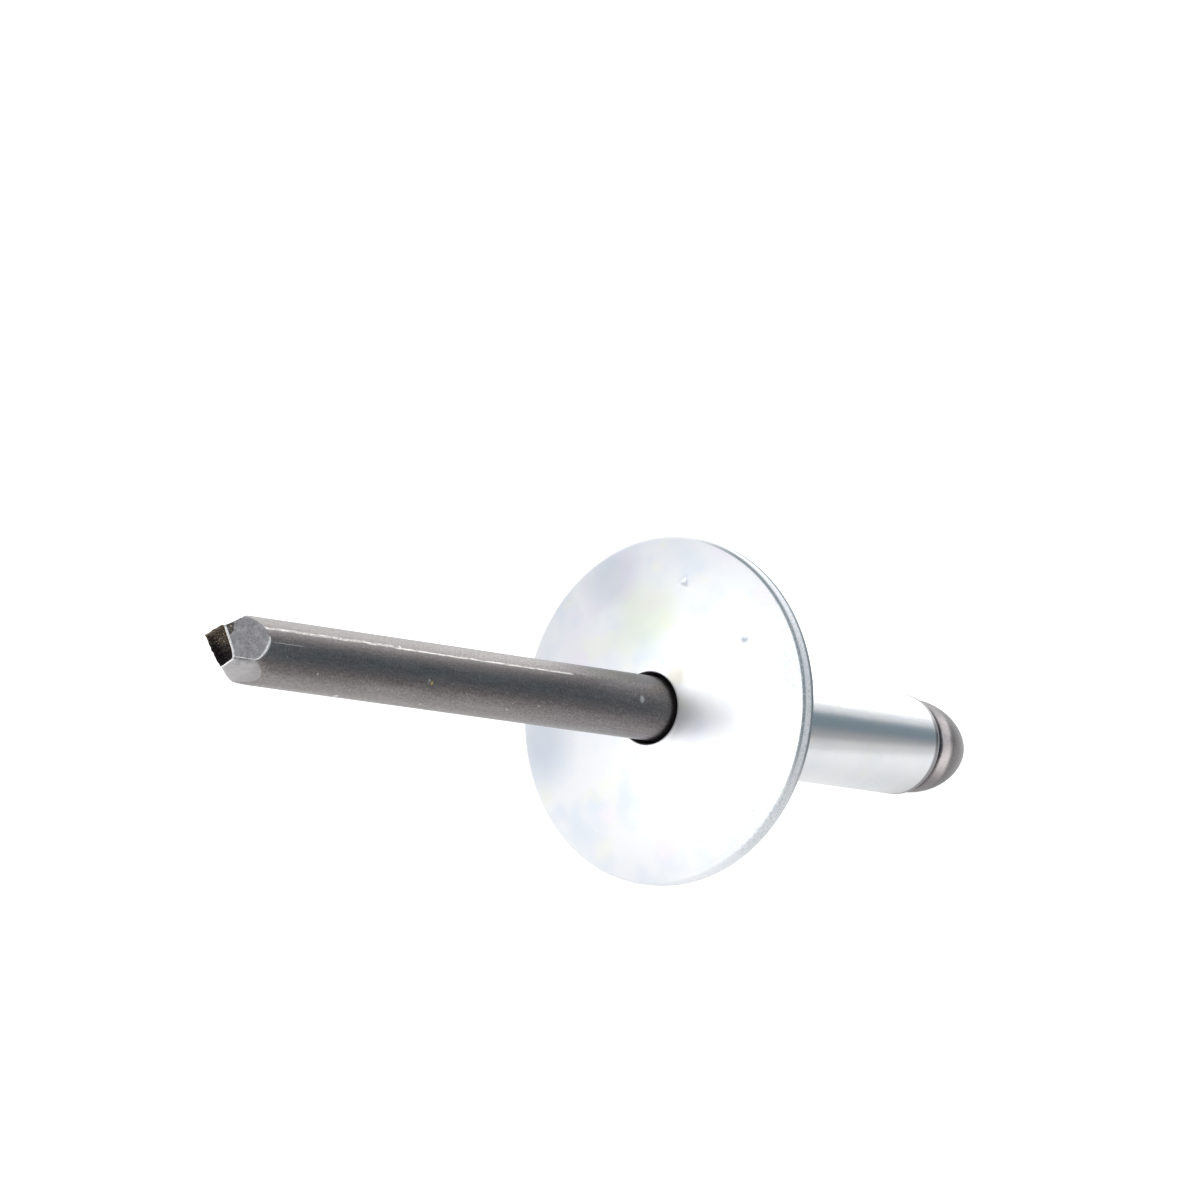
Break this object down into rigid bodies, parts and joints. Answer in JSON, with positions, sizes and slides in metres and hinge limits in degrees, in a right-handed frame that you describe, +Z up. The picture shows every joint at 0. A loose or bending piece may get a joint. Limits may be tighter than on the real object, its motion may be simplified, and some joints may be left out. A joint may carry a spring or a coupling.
{
  "type": "pop rivet",
  "caption": "Open-end blind rivet, not yet set: tubular steel sleeve with a wide flange on a headed mandrel with a pinched tip, lying on its side.",
  "frame": {"origin": "on the floor under the middle of the part's length, as it lies at rest", "axes": "+Z up, +X along the length towards the mandrel's head; the rivet's own axis lies in the XZ plane and leans down towards +X by 16.28 degrees"},
  "size_m": [0.053, 0.016, 0.0178],
  "materials": {
    "zinc_plate": "bright zinc plate with a clear passivation, a faint blue and yellow cast, satin to glossy",
    "drawn_steel": "bare drawn steel wire, dark grey, satin, with fine lines along its length"
  },
  "bodies": {
    "root": {"rivet_sleeve": "zinc_plate", "mandrel": "drawn_steel"}
  },
  "joints": []
}
